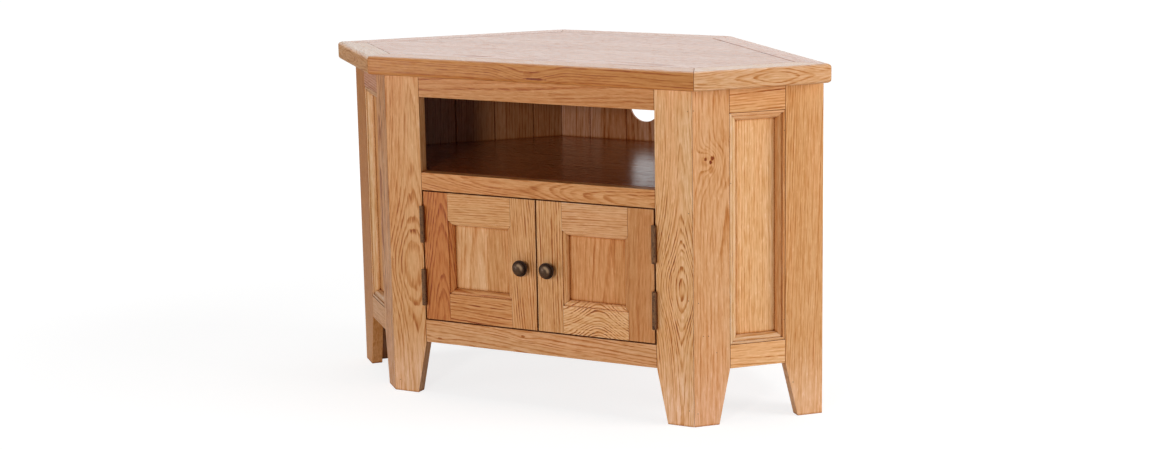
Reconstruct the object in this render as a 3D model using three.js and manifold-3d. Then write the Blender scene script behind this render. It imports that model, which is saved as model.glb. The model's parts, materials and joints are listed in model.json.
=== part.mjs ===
// A six-sided oak corner cabinet with an open media bay above a cupboard with two hinged doors.
// Lengths are millimetres. The cabinet stands on z = 0, faces -y and has its plan centre at the origin.

import * as THREE from 'three';
import { mergeVertices } from 'three/addons/utils/BufferGeometryUtils.js';
import Module from 'manifold-3d';

const wasm = await Module();
wasm.setup();

// Driving sizes of the whole cabinet
const cabinetHeight = 600;
const frontWidth = 582;
const sideLength = 232.5;
const bodyDepth = 443.6;
const sideAngle = Math.PI / 4;

// Boards, joints and clearances
const boardThickness = 19.5;
const jointGap = 0.3;
const cutOverrun = 5;

// Top: a mitred border round a field
const topThickness = 32;
const topBorderWidth = 45;
const topEdgeRadius = 6;
const frontOverhang = 28;
const sideOverhang = 31;
const wallOverhang = 0;
const backOverhang = 4;

// Posts and their tapered feet
const frontPostWidth = 67.5;
const sidePostWidth = 65;
const backPostWidth = 68;
const footHeight = 95;
const frontFootTaper = 19.5;
const sideFootTaper = 19.5;
const backFootTaper = 23;
const rearFootWidth = 45;
const rearFootTaper = 15;
const rearFootThickness = 26;

// Rails across the front and the sides
const bottomRailHeight = 40;
const middleRailHeight = 31;
const cupboardHeight = 232;
const bayHeight = 132;
const sideTopRailHeight = 43;

// Thin panels in the sides and on the walls, and a cable hole at its own height above the shelf
const panelThickness = 6;
const wallBoardPitch = 76;
const firstWallBoardWidth = 58;
const grooveWidth = 3;
const grooveDepth = 2;
const cableHoleRadius = 30;
const cableHoleHeight = 66;
const sideMouldingWidth = 14;
const sideMouldingHeight = 12.5;
const sideMouldingLip = 3;
const sideMouldingStep = 1.6;
const sideMouldingToe = 2;

// Shelf and floor
const shelfThickness = 18;
const floorThickness = 18;
const shelfFrontGap = 1.2;

// Doors
const doorThickness = 20;
const doorHingeGap = 3;
const doorCentreGap = 3;
const doorTopGap = 2.2;
const doorBottomGap = 2.4;
const doorStileWidth = 48;
const doorRailHeight = 48.5;
const doorPanelDepth = 11;
const doorGrooveDepth = 7.5;
const doorMouldingWidth = 9;
const doorMouldingStep = 2;
const doorMouldingFlat = 1.2;
const doorMouldingToe = 1.5;
const doorMouldingRoot = 1;

// Butt hinges
const hingeLength = 64;
const hingeInset = 25.5;
const barrelRadius = 4;
const barrelStandoff = 4.5;
const endKnuckleShare = 0.23;
const pinRadius = 1.75;
const pinHeadHeight = 0.8;
const leafThickness = 1;
const leafDepth = 17;
const leafSetback = 1;
const screwHoleRadius = 1.6;
const screwHoleMouth = 2.9;
const screwPitch = 22;

// Knobs
const knobDrop = 4;
const knobStemRadius = 2;
const knobStemDepth = 14;
const knobBaseRadius = 7;
const knobBaseThickness = 1.6;
const knobNeckRadius = 4.6;
const knobNeckHeight = 7;
const knobRimRadius = 13;
const knobRimHeight = 13;
const knobRimThickness = 2.4;
const knobShoulderRadius = 11.6;
const knobHeight = 24.5;

// Magnetic catch
const catchLength = 44;
const catchHeight = 12;
const catchDepth = 14;
const catchCorner = 2;
const strikeWidth = 14;
const strikeHeight = 10;
const strikeThickness = 1;
const strikeInset = 4;

// Smoothness of round stretches
const edgeSegments = 4;
const mouldingSegments = 4;
const barrelSegments = 20;
const screwSegments = 12;
const knobSegments = 26;
const knobCurveSegments = 5;
const holeSegments = 32;

// Values that follow from the driving sizes
const quarterTurn = Math.PI / 2;
const bodyTop = cabinetHeight - topThickness;
const postTop = bodyTop - jointGap;
const cupboardBottom = footHeight + bottomRailHeight;
const cupboardTop = cupboardBottom + cupboardHeight;
const bayBottom = cupboardTop + middleRailHeight;
const bayTop = bayBottom + bayHeight;
const sideOpeningTop = bodyTop - sideTopRailHeight;
const openingHalf = frontWidth / 2 - frontPostWidth;
const floorTop = cupboardBottom;
const wallAngle = sideAngle + quarterTurn;
const sideReach = sideLength * Math.cos(sideAngle);
const sideSetback = sideLength * Math.sin(sideAngle);

const finishes = {
  oak: { color: 0xc8935f, roughness: 0.45, metalness: 0 },
  paleOak: { color: 0xd3a674, roughness: 0.45, metalness: 0 },
  redOak: { color: 0xb9784a, roughness: 0.45, metalness: 0 },
  darkOak: { color: 0x8a5530, roughness: 0.35, metalness: 0 },
  bronze: { color: 0x54463a, roughness: 0.42, metalness: 0.9 },
  steel: { color: 0x9a9a98, roughness: 0.35, metalness: 1 },
  catchBody: { color: 0x4a3626, roughness: 0.6, metalness: 0 },
};

function point(x, y) {
  return new THREE.Vector2(x, y);
}

function addMesh(group, name, geometry, finish) {
  const mesh = new THREE.Mesh(geometry, new THREE.MeshStandardMaterial(finishes[finish]));
  mesh.name = name;
  group.add(mesh);
  return mesh;
}

function prism(outline, low, high) {
  const shape = outline instanceof THREE.Shape ? outline : new THREE.Shape(outline);
  const geometry = new THREE.ExtrudeGeometry(shape, {
    depth: high - low,
    bevelEnabled: false,
    curveSegments: edgeSegments,
  });
  return geometry.translate(0, 0, low);
}

function rectangle(left, bottom, right, top) {
  return [point(left, bottom), point(right, bottom), point(right, top), point(left, top)];
}

// A closed solid between two outlines with the same number of points, at two heights
function loft(lowOutline, highOutline, low, high) {
  const clockwise = THREE.ShapeUtils.isClockWise(lowOutline);
  const lower = clockwise ? [...lowOutline].reverse() : lowOutline;
  const upper = clockwise ? [...highOutline].reverse() : highOutline;
  const count = lower.length;
  const vertices = [];
  lower.forEach((corner) => vertices.push(corner.x, corner.y, low));
  upper.forEach((corner) => vertices.push(corner.x, corner.y, high));
  const indices = [];
  THREE.ShapeUtils.triangulateShape(lower, []).forEach(([a, b, c]) => {
    indices.push(c, b, a);
    indices.push(count + a, count + b, count + c);
  });
  for (let i = 0; i < count; i += 1) {
    const next = (i + 1) % count;
    indices.push(i, next, count + next);
    indices.push(i, count + next, count + i);
  }
  const geometry = new THREE.BufferGeometry();
  geometry.setAttribute('position', new THREE.Float32BufferAttribute(vertices, 3));
  geometry.setIndex(indices);
  geometry.computeVertexNormals();
  return geometry;
}

function solidOf(geometry) {
  const bare = geometry.clone();
  bare.deleteAttribute('normal');
  bare.deleteAttribute('uv');
  const merged = mergeVertices(bare);
  const corners = merged.index.array;
  const kept = [];
  for (let i = 0; i < corners.length; i += 3) {
    const [a, b, c] = corners.slice(i, i + 3);
    if (a !== b && b !== c && c !== a) {
      kept.push(a, b, c);
    }
  }
  return new wasm.Manifold(new wasm.Mesh({
    numProp: 3,
    vertProperties: new Float32Array(merged.attributes.position.array),
    triVerts: new Uint32Array(kept),
  }));
}

function geometryOf(solid) {
  const mesh = solid.getMesh();
  const geometry = new THREE.BufferGeometry();
  geometry.setAttribute('position', new THREE.BufferAttribute(mesh.vertProperties, 3));
  geometry.setIndex(new THREE.BufferAttribute(mesh.triVerts, 1));
  geometry.computeVertexNormals();
  return geometry;
}

function join(geometries) {
  return geometryOf(geometries.map(solidOf).reduce((whole, piece) => whole.add(piece)));
}

function cut(geometry, tools) {
  return geometryOf(tools.map(solidOf).reduce((whole, tool) => whole.subtract(tool), solidOf(geometry)));
}

// The six faces of the body, anticlockwise from above, each with its first corner and its direction
const backHalfWidth = frontWidth / 2 + sideReach - (bodyDepth - sideSetback) / Math.tan(Math.PI - wallAngle);
const wallLength = (bodyDepth - sideSetback) / Math.sin(wallAngle);
const faces = {
  front: { corner: point(-frontWidth / 2, 0), angle: 0, length: frontWidth },
  rightSide: { corner: point(frontWidth / 2, 0), angle: sideAngle, length: sideLength },
  rightWall: { corner: point(frontWidth / 2 + sideReach, sideSetback), angle: wallAngle, length: wallLength },
  back: { corner: point(backHalfWidth, bodyDepth), angle: Math.PI, length: 2 * backHalfWidth },
  leftWall: { corner: point(-backHalfWidth, bodyDepth), angle: -wallAngle, length: wallLength },
  leftSide: { corner: point(-frontWidth / 2 - sideReach, sideSetback), angle: -sideAngle, length: sideLength },
};
const faceOrder = ['front', 'rightSide', 'rightWall', 'back', 'leftWall', 'leftSide'];

function facePoint(face, along, inward) {
  const x = face.corner.x + along * Math.cos(face.angle) - inward * Math.sin(face.angle);
  const y = face.corner.y + along * Math.sin(face.angle) + inward * Math.cos(face.angle);
  return point(x, y);
}

// Where two faces meet once each is moved inward by its own inset
function insetCorner(firstFace, firstInset, secondFace, secondInset) {
  const first = facePoint(firstFace, 0, firstInset);
  const second = facePoint(secondFace, 0, secondInset);
  const firstRun = point(Math.cos(firstFace.angle), Math.sin(firstFace.angle));
  const secondRun = point(Math.cos(secondFace.angle), Math.sin(secondFace.angle));
  const reach = second.clone().sub(first).cross(secondRun) / firstRun.cross(secondRun);
  return first.addScaledVector(firstRun, reach);
}

// The body's outline with each face moved inward by its inset, from the front's first corner on
function insetOutline(insets) {
  return faceOrder.map((name, i) => {
    const before = faceOrder[(i + faceOrder.length - 1) % faceOrder.length];
    return insetCorner(faces[before], insets[before], faces[name], insets[name]);
  });
}

function mirrored(outline) {
  return outline.map((corner) => point(-corner.x, corner.y)).reverse();
}

// How far a mitre runs back along a board for each unit of its width, where the outline turns
function mitreSlope(turn) {
  return Math.tan(turn / 2);
}

// One length of a moulded section with both ends cut to their mitres, along +x with its width on +y
function mitredStick(section, length, startTurn, endTurn, segments) {
  const geometry = new THREE.ExtrudeGeometry(section, {
    depth: length,
    bevelEnabled: false,
    curveSegments: segments,
  });
  const position = geometry.attributes.position;
  const trim = jointGap / 2;
  for (let i = 0; i < position.count; i += 1) {
    const width = Math.max(position.getX(i), 0);
    const start = width * mitreSlope(startTurn) + trim / Math.cos(startTurn / 2);
    const end = length - width * mitreSlope(endTurn) - trim / Math.cos(endTurn / 2);
    position.setZ(i, position.getZ(i) < length / 2 ? start : end);
  }
  const turned = new THREE.Matrix4().makeBasis(
    new THREE.Vector3(0, 1, 0),
    new THREE.Vector3(0, 0, 1),
    new THREE.Vector3(1, 0, 0),
  );
  return geometry.applyMatrix4(turned);
}

// A stick along every edge of an anticlockwise outline, its section's width running inward
function frameSticks(outline, section, segments) {
  const edges = outline.map((start, i) => {
    const end = outline[(i + 1) % outline.length];
    return { start, run: end.clone().sub(start) };
  });
  return edges.map((edge, i) => {
    const before = edges[(i + edges.length - 1) % edges.length].run;
    const after = edges[(i + 1) % edges.length].run;
    const startTurn = Math.atan2(before.cross(edge.run), before.dot(edge.run));
    const endTurn = Math.atan2(edge.run.cross(after), edge.run.dot(after));
    const stick = mitredStick(section, edge.run.length(), startTurn, endTurn, segments);
    stick.rotateZ(edge.run.angle());
    return stick.translate(edge.start.x, edge.start.y, 0);
  });
}

// A closed ring with one section all the way round an anticlockwise outline, mitred at each corner
function frameRing(outline, section, segments) {
  const profile = section.getPoints(segments).slice(0, -1);
  const vertices = [];
  outline.forEach((corner, i) => {
    const before = outline[(i + outline.length - 1) % outline.length];
    const after = outline[(i + 1) % outline.length];
    const arrival = corner.clone().sub(before).normalize();
    const run = after.clone().sub(corner).normalize();
    const turn = Math.atan2(arrival.cross(run), arrival.dot(run));
    const inward = point(-run.y, run.x).addScaledVector(run, mitreSlope(turn));
    profile.forEach(({ x: width, y: height }) => {
      vertices.push(corner.x + inward.x * width, corner.y + inward.y * width, height);
    });
  });
  const indices = [];
  for (let i = 0; i < outline.length; i += 1) {
    const here = i * profile.length;
    const there = ((i + 1) % outline.length) * profile.length;
    for (let j = 0; j < profile.length; j += 1) {
      const next = (j + 1) % profile.length;
      indices.push(here + j, here + next, there + next);
      indices.push(here + j, there + next, there + j);
    }
  }
  const geometry = new THREE.BufferGeometry();
  geometry.setAttribute('position', new THREE.Float32BufferAttribute(vertices, 3));
  geometry.setIndex(indices);
  geometry.computeVertexNormals();
  return geometry;
}

// Groups whose local axes follow one face: x along it, y inward in plan or up in elevation
function planGroup(parent, face) {
  const group = new THREE.Group();
  group.position.set(face.corner.x, face.corner.y, 0);
  group.rotation.z = face.angle;
  parent.add(group);
  return group;
}

function elevationGroup(parent) {
  const group = new THREE.Group();
  group.rotation.x = quarterTurn;
  parent.add(group);
  return group;
}

function topSection() {
  const section = new THREE.Shape();
  section.moveTo(topBorderWidth, 0);
  section.lineTo(topBorderWidth, topThickness);
  section.lineTo(topEdgeRadius, topThickness);
  section.absarc(topEdgeRadius, topThickness - topEdgeRadius, topEdgeRadius, quarterTurn, Math.PI, false);
  section.lineTo(0, topEdgeRadius);
  section.absarc(topEdgeRadius, topEdgeRadius, topEdgeRadius, Math.PI, Math.PI + quarterTurn, false);
  section.closePath();
  return section;
}

function buildTop(cabinet) {
  const overhangs = {
    front: -frontOverhang,
    rightSide: -sideOverhang,
    rightWall: -wallOverhang,
    back: -backOverhang,
    leftWall: -wallOverhang,
    leftSide: -sideOverhang,
  };
  const top = new THREE.Group();
  top.position.z = bodyTop;
  cabinet.add(top);
  const names = [
    'top_front_board',
    'top_right_side_board',
    'top_right_wall_board',
    'top_back_board',
    'top_left_wall_board',
    'top_left_side_board',
  ];
  const boards = frameSticks(insetOutline(overhangs), topSection(), edgeSegments);
  boards.forEach((board, i) => addMesh(top, names[i], board, 'oak'));
  const fieldInsets = {};
  faceOrder.forEach((name) => {
    fieldInsets[name] = overhangs[name] + topBorderWidth + jointGap;
  });
  addMesh(top, 'top_field_panel', prism(insetOutline(fieldInsets), 0, topThickness), 'paleOak');
}

// A post board seen from outside: its straight edge stands at the corner and its foot tapers to it
function postOutline(cornerX, innerX, taper) {
  const footX = innerX + Math.sign(cornerX - innerX) * taper;
  return [
    point(cornerX, 0),
    point(cornerX, postTop),
    point(innerX, postTop),
    point(innerX, footHeight),
    point(footX, 0),
  ];
}

// The same board with its corner edge bevelled to meet the board round the corner
function mitredPostBoard(cornerX, innerX, taper) {
  const outer = postOutline(cornerX, innerX, taper);
  const inwardSign = Math.sign(innerX - cornerX);
  const trim = jointGap / 2 / Math.cos(sideAngle / 2);
  const bevel = boardThickness * mitreSlope(sideAngle);
  const moved = (shift) => outer.map((corner) => {
    const x = corner.x === cornerX ? corner.x + inwardSign * shift : corner.x;
    return point(x, corner.y);
  });
  return loft(moved(trim + bevel), moved(trim), -boardThickness, 0);
}

function hingeHeights() {
  const upper = cupboardTop - doorTopGap - hingeInset - hingeLength / 2;
  const lower = cupboardBottom + doorBottomGap + hingeInset + hingeLength / 2;
  return [upper, lower];
}

// Where the two leaves of a hinge lie in the gap beside the door, measured from the middle
const postLeafX = openingHalf - jointGap - leafThickness;
const doorEdgeX = openingHalf - doorHingeGap;
const doorLeafX = doorEdgeX + jointGap;
const hingeAxisX = openingHalf - doorHingeGap / 2;

function buildFront(front) {
  for (const [side, hand] of [['left', -1], ['right', 1]]) {
    const board = mitredPostBoard(hand * frontWidth / 2, hand * openingHalf, frontFootTaper);
    addMesh(front, `front_${side}_post_front_board`, board, 'oak');
  }
  const railEnd = openingHalf - jointGap;
  const rails = [
    ['front_bottom_rail', footHeight, cupboardBottom],
    ['front_middle_rail', cupboardTop, bayBottom],
    ['front_top_rail', bayTop, postTop],
  ];
  for (const [name, low, high] of rails) {
    addMesh(front, name, prism(rectangle(-railEnd, low, railEnd, high), -boardThickness, 0), 'oak');
  }
}

function sideMouldingSection() {
  const section = new THREE.Shape();
  const stepHeight = sideMouldingHeight - sideMouldingStep;
  section.moveTo(0, 0);
  section.lineTo(sideMouldingWidth, 0);
  section.lineTo(sideMouldingWidth, sideMouldingToe);
  section.quadraticCurveTo(sideMouldingWidth - sideMouldingLip, stepHeight, sideMouldingLip, stepHeight);
  section.lineTo(sideMouldingLip, sideMouldingHeight);
  section.lineTo(0, sideMouldingHeight);
  section.closePath();
  return section;
}

// One side of the body: the front post's side board, two rails, the back post's side board,
// and a thin panel held in the opening by a mitred moulding
function buildSide(elevation, side, hand) {
  const place = (x) => (hand > 0 ? x : sideLength - x);
  const between = (from, low, to, high) => rectangle(
    Math.min(place(from), place(to)),
    low,
    Math.max(place(from), place(to)),
    high,
  );
  const frontBoard = mitredPostBoard(place(0), place(sidePostWidth), sideFootTaper);
  addMesh(elevation, `front_${side}_post_side_board`, frontBoard, 'oak');
  const backOutline = postOutline(place(sideLength), place(sideLength - backPostWidth), backFootTaper);
  addMesh(elevation, `back_${side}_post_side_board`, prism(backOutline, -boardThickness, 0), 'oak');

  const openingStart = sidePostWidth + jointGap;
  const openingEnd = sideLength - backPostWidth - jointGap;
  const bottomRail = between(openingStart, footHeight, openingEnd, cupboardBottom);
  addMesh(elevation, `${side}_side_bottom_rail`, prism(bottomRail, -boardThickness, 0), 'oak');
  const topRail = between(openingStart, sideOpeningTop, openingEnd, postTop);
  addMesh(elevation, `${side}_side_top_rail`, prism(topRail, -boardThickness, 0), 'oak');

  const low = cupboardBottom + jointGap;
  const high = sideOpeningTop - jointGap;
  const panelOutline = between(openingStart, low, openingEnd, high);
  const panelFace = panelThickness - boardThickness;
  addMesh(elevation, `${side}_side_panel`, prism(panelOutline, -boardThickness, panelFace), 'paleOak');

  const moulding = frameRing(panelOutline, sideMouldingSection(), mouldingSegments);
  addMesh(elevation, `${side}_side_moulding`, moulding.translate(0, 0, panelFace + jointGap), 'oak');
}

function buildBackPostWallBoard(elevation, side, hand) {
  const place = (x) => (hand > 0 ? x : wallLength - x);
  const outline = postOutline(place(boardThickness + jointGap), place(backPostWidth), backFootTaper);
  addMesh(elevation, `back_${side}_post_wall_board`, prism(outline, -boardThickness, 0), 'oak');
}

// The plan of a thin boarded panel: a plain outer face and grooves on the inner one
function boardedPanelOutline(from, to, endBevel, grooves) {
  const outline = [
    point(from.along, 0),
    point(to.along, 0),
    point(to.along - to.bevels * endBevel, panelThickness),
  ];
  for (const middle of [...grooves].sort((a, b) => b - a)) {
    outline.push(point(middle + grooveWidth / 2, panelThickness));
    outline.push(point(middle, panelThickness - grooveDepth));
    outline.push(point(middle - grooveWidth / 2, panelThickness));
  }
  outline.push(point(from.along + from.bevels * endBevel, panelThickness));
  return outline;
}

const wallTurn = Math.PI - wallAngle;
const panelBevel = panelThickness * mitreSlope(wallTurn);
const panelEndTrim = jointGap / 2 / Math.cos(wallTurn / 2);

function buildWallPanel(plan, side, hand) {
  const place = (x) => (hand > 0 ? x : wallLength - x);
  const postEnd = { along: place(backPostWidth + jointGap), bevels: 0 };
  const cornerEnd = { along: place(wallLength - panelEndTrim), bevels: 1 };
  const grooves = [];
  const lastGroove = wallLength - backPostWidth - grooveWidth;
  for (let reach = firstWallBoardWidth; reach < lastGroove; reach += wallBoardPitch) {
    grooves.push(place(wallLength - reach));
  }
  const ends = hand > 0 ? [postEnd, cornerEnd] : [cornerEnd, postEnd];
  const outline = boardedPanelOutline(ends[0], ends[1], panelBevel, grooves);
  addMesh(plan, `${side}_wall_panel`, prism(outline, footHeight, postTop), 'darkOak');
}

function buildBackPanel(plan) {
  const middle = backHalfWidth;
  const grooves = [];
  for (let reach = wallBoardPitch / 2; reach < backHalfWidth - grooveWidth; reach += wallBoardPitch) {
    grooves.push(middle - reach, middle + reach);
  }
  const outline = boardedPanelOutline(
    { along: panelEndTrim, bevels: 1 },
    { along: 2 * backHalfWidth - panelEndTrim, bevels: 1 },
    panelBevel,
    grooves,
  );
  const hole = new THREE.CylinderGeometry(
    cableHoleRadius,
    cableHoleRadius,
    panelThickness + cutOverrun,
    holeSegments,
  );
  hole.translate(middle, panelThickness / 2, bayBottom + cableHoleHeight);
  addMesh(plan, 'back_panel', cut(prism(outline, footHeight, postTop), [hole]), 'darkOak');
}

// The plan of a board that fills the body, notched round the back posts
function insideOutline(frontInset) {
  const boardInset = boardThickness + jointGap;
  const panelInset = panelThickness + jointGap;
  const side = faces.rightSide;
  const rightHalf = [
    insetCorner(faces.front, frontInset, side, boardInset),
    facePoint(side, sideLength - boardInset, boardInset),
    facePoint(side, sideLength - boardInset, backPostWidth + jointGap),
    facePoint(side, sideLength - panelInset, backPostWidth + jointGap),
    insetCorner(faces.rightWall, panelInset, faces.back, panelInset),
  ];
  return [...rightHalf, ...mirrored(rightHalf)];
}

function buildInside(cabinet) {
  const shelf = prism(insideOutline(boardThickness + shelfFrontGap), bayBottom - shelfThickness, bayBottom);
  addMesh(cabinet, 'shelf', shelf, 'darkOak');
  const floorBottom = floorTop - floorThickness;
  const floorPanel = prism(insideOutline(boardThickness + jointGap), floorBottom, floorTop);
  addMesh(cabinet, 'floor_panel', floorPanel, 'darkOak');
  const rearFeet = rearFeetUnder(floorBottom - jointGap);
  addMesh(cabinet, 'rear_right_foot', rearFeet.right, 'oak');
  addMesh(cabinet, 'rear_left_foot', rearFeet.left, 'oak');
}

// Angled feet in the two back corners, narrower at the ground
function rearFeetUnder(top) {
  const near = panelThickness + jointGap;
  const far = near + rearFootThickness;
  const footOutline = (width) => {
    const wallReach = wallLength - near * mitreSlope(wallTurn) - width;
    const backReach = near * mitreSlope(wallTurn) + width;
    return [
      insetCorner(faces.rightWall, near, faces.back, near),
      facePoint(faces.back, backReach, near),
      facePoint(faces.back, backReach, far),
      insetCorner(faces.rightWall, far, faces.back, far),
      facePoint(faces.rightWall, wallReach, far),
      facePoint(faces.rightWall, wallReach, near),
    ];
  };
  const ground = footOutline(rearFootWidth - rearFootTaper);
  const head = footOutline(rearFootWidth);
  return {
    right: loft(ground, head, 0, top),
    left: loft(mirrored(ground), mirrored(head), 0, top),
  };
}

// The inner part of a door's frame: a groove for the panel behind a stepped, rounded moulding
function doorMouldingSection() {
  const panelBack = doorThickness - doorPanelDepth - panelThickness - jointGap;
  const panelFront = doorThickness - doorPanelDepth + jointGap;
  const grooveFloor = doorMouldingWidth - doorGrooveDepth;
  const stepHeight = doorThickness - doorMouldingStep;
  const section = new THREE.Shape();
  section.moveTo(-doorMouldingRoot, 0);
  section.lineTo(doorMouldingWidth, 0);
  section.lineTo(doorMouldingWidth, panelBack);
  section.lineTo(grooveFloor, panelBack);
  section.lineTo(grooveFloor, panelFront);
  section.lineTo(doorMouldingWidth, panelFront);
  section.lineTo(doorMouldingWidth, panelFront + doorMouldingToe);
  section.quadraticCurveTo(doorMouldingWidth - doorMouldingFlat, stepHeight, doorMouldingFlat, stepHeight);
  section.lineTo(-doorMouldingRoot, stepHeight);
  section.closePath();
  return section;
}

function doorSpan(hand) {
  const edges = [hand * doorEdgeX, hand * doorCentreGap / 2].sort((a, b) => a - b);
  return {
    left: edges[0],
    right: edges[1],
    bottom: cupboardBottom + doorBottomGap,
    top: cupboardTop - doorTopGap,
  };
}

function knobPlace(hand) {
  const span = doorSpan(hand);
  const x = hand * (doorCentreGap + doorStileWidth) / 2;
  return point(x, (span.bottom + span.top) / 2 - knobDrop);
}

function knobHole(hand) {
  const depth = knobStemDepth + jointGap + cutOverrun;
  const radius = knobStemRadius + jointGap;
  const hole = new THREE.CylinderGeometry(radius, radius, depth, barrelSegments);
  const place = knobPlace(hand);
  hole.rotateX(quarterTurn);
  return hole.translate(place.x, place.y, cutOverrun - depth / 2);
}

function buildDoor(front, side, hand) {
  const door = new THREE.Group();
  front.add(door);
  const { left, right, bottom, top } = doorSpan(hand);
  const openingLeft = left + doorStileWidth;
  const openingRight = right - doorStileWidth;
  const openingBottom = bottom + doorRailHeight;
  const openingTop = top - doorRailHeight;
  const opening = rectangle(openingLeft, openingBottom, openingRight, openingTop);
  const mouldings = frameSticks(opening, doorMouldingSection(), mouldingSegments);
  mouldings.forEach((stick) => stick.translate(0, 0, -doorThickness));
  const [bottomMoulding, rightMoulding, topMoulding, leftMoulding] = mouldings;
  const flat = (x0, y0, x1, y1) => prism(rectangle(x0, y0, x1, y1), -doorThickness, 0);

  const railLeft = openingLeft + jointGap;
  const railRight = openingRight - jointGap;
  const bottomRail = join([flat(railLeft, bottom, railRight, openingBottom), bottomMoulding]);
  addMesh(door, `${side}_door_bottom_rail`, bottomRail, 'oak');
  const topRail = join([flat(railLeft, openingTop, railRight, top), topMoulding]);
  addMesh(door, `${side}_door_top_rail`, topRail, 'oak');

  const leftStile = join([flat(left, bottom, openingLeft, top), leftMoulding]);
  const rightStile = join([flat(openingRight, bottom, right, top), rightMoulding]);
  const [hingeStile, knobStile] = hand < 0 ? [leftStile, rightStile] : [rightStile, leftStile];
  addMesh(door, `${side}_door_hinge_stile`, hingeStile, hand < 0 ? 'redOak' : 'oak');
  addMesh(door, `${side}_door_knob_stile`, cut(knobStile, [knobHole(hand)]), 'oak');

  const tuck = doorMouldingWidth - doorGrooveDepth + jointGap;
  const panelOutline = rectangle(
    openingLeft + tuck,
    openingBottom + tuck,
    openingRight - tuck,
    openingTop - tuck,
  );
  const panelBack = -doorPanelDepth - panelThickness;
  addMesh(door, `${side}_door_panel`, prism(panelOutline, panelBack, -doorPanelDepth), 'paleOak');
  addMesh(door, `${side}_door_knob`, knob(hand), 'bronze');
  buildStrike(door, side, hand);
}

function knob(hand) {
  const profile = new THREE.Path();
  const rimTop = knobRimHeight + knobRimThickness;
  profile.moveTo(0, -knobStemDepth);
  profile.lineTo(knobStemRadius, -knobStemDepth);
  profile.lineTo(knobStemRadius, jointGap);
  profile.lineTo(knobBaseRadius, jointGap);
  profile.lineTo(knobBaseRadius, knobBaseThickness);
  profile.quadraticCurveTo(knobNeckRadius, knobBaseThickness, knobNeckRadius, knobNeckHeight);
  profile.quadraticCurveTo(knobNeckRadius, knobRimHeight, knobRimRadius, knobRimHeight);
  profile.lineTo(knobRimRadius, rimTop);
  profile.lineTo(knobShoulderRadius, rimTop);
  profile.quadraticCurveTo(knobShoulderRadius, knobHeight, 0, knobHeight);
  const lathe = new THREE.LatheGeometry(profile.getPoints(knobCurveSegments), knobSegments);
  const place = knobPlace(hand);
  lathe.rotateX(quarterTurn);
  return lathe.translate(place.x, place.y, 0);
}

// A ring of the hinge's barrel, standing on end
function knuckle(low, high) {
  const ring = new THREE.Shape();
  ring.absarc(0, 0, barrelRadius, 0, 2 * Math.PI, false);
  const bore = new THREE.Path();
  bore.absarc(0, 0, pinRadius + jointGap, 0, 2 * Math.PI, true);
  ring.holes.push(bore);
  const geometry = new THREE.ExtrudeGeometry(ring, {
    depth: high - low,
    bevelEnabled: false,
    curveSegments: barrelSegments / 2,
  });
  geometry.rotateX(-quarterTurn);
  return geometry.translate(0, low, 0);
}

// The heights of a hinge's three knuckles above its lower end
const endKnuckleLength = hingeLength * endKnuckleShare;
const hingeNames = ['upper', 'lower'];
const knuckleSpans = {
  post: [
    [0, endKnuckleLength - jointGap / 2],
    [hingeLength - endKnuckleLength + jointGap / 2, hingeLength],
  ],
  door: [[endKnuckleLength + jointGap / 2, hingeLength - endKnuckleLength - jointGap / 2]],
};

// A countersunk hole through a leaf, wide at the face that the screw enters
function screwHole(leafX, height, enteredFromOutside) {
  const outer = enteredFromOutside ? screwHoleMouth : screwHoleRadius;
  const inner = enteredFromOutside ? screwHoleRadius : screwHoleMouth;
  const hole = new THREE.CylinderGeometry(outer, inner, leafThickness + 2 * jointGap, screwSegments);
  hole.rotateZ(-quarterTurn);
  return hole.translate(leafX + leafThickness / 2, height, -(leafDepth + leafSetback) / 2);
}

// One leaf of a hinge on the right of the cabinet, between a door and its post
function hingeLeaf(leafX, spans, middleHeight, enteredFromOutside) {
  const leafEnd = leafX + leafThickness;
  const low = middleHeight - hingeLength / 2;
  const tabReach = barrelStandoff - (barrelRadius + pinRadius + jointGap) / 2;
  const pieces = [prism(rectangle(leafX, low, leafEnd, low + hingeLength), -leafDepth, -leafSetback)];
  for (const [from, to] of spans) {
    const tab = rectangle(leafX, low + from, leafEnd, low + to);
    pieces.push(prism(tab, -leafSetback - leafThickness, tabReach));
    pieces.push(knuckle(low + from, low + to).translate(hingeAxisX, 0, barrelStandoff));
  }
  const heights = [middleHeight - screwPitch, middleHeight, middleHeight + screwPitch];
  return cut(join(pieces), heights.map((height) => screwHole(leafX, height, enteredFromOutside)));
}

// The same leaf for the left of the cabinet, turned round so that its ends change places
function placedLeaf(hand, leafX, spans, middleHeight, enteredFromOutside) {
  const leaf = hingeLeaf(leafX, spans, 0, enteredFromOutside);
  if (hand < 0) {
    leaf.rotateZ(Math.PI);
  }
  return leaf.translate(0, middleHeight, 0);
}

function buildHinges(front, side, hand) {
  hingeHeights().forEach((height, i) => {
    const hinge = `${hingeNames[i]}_${side}_hinge`;
    const postLeaf = placedLeaf(hand, postLeafX, knuckleSpans.post, height, false);
    addMesh(front, `${hinge}_post_leaf`, postLeaf, 'bronze');
    const doorLeaf = placedLeaf(hand, doorLeafX, knuckleSpans.door, height, true);
    addMesh(front, `${hinge}_door_leaf`, doorLeaf, 'bronze');
    const length = hingeLength + 2 * pinHeadHeight;
    const pin = new THREE.CylinderGeometry(pinRadius, pinRadius, length, barrelSegments);
    const pinMesh = addMesh(front, `${hinge}_pin`, pin, 'bronze');
    pinMesh.position.set(hand * hingeAxisX, height, barrelStandoff);
  });
}

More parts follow.
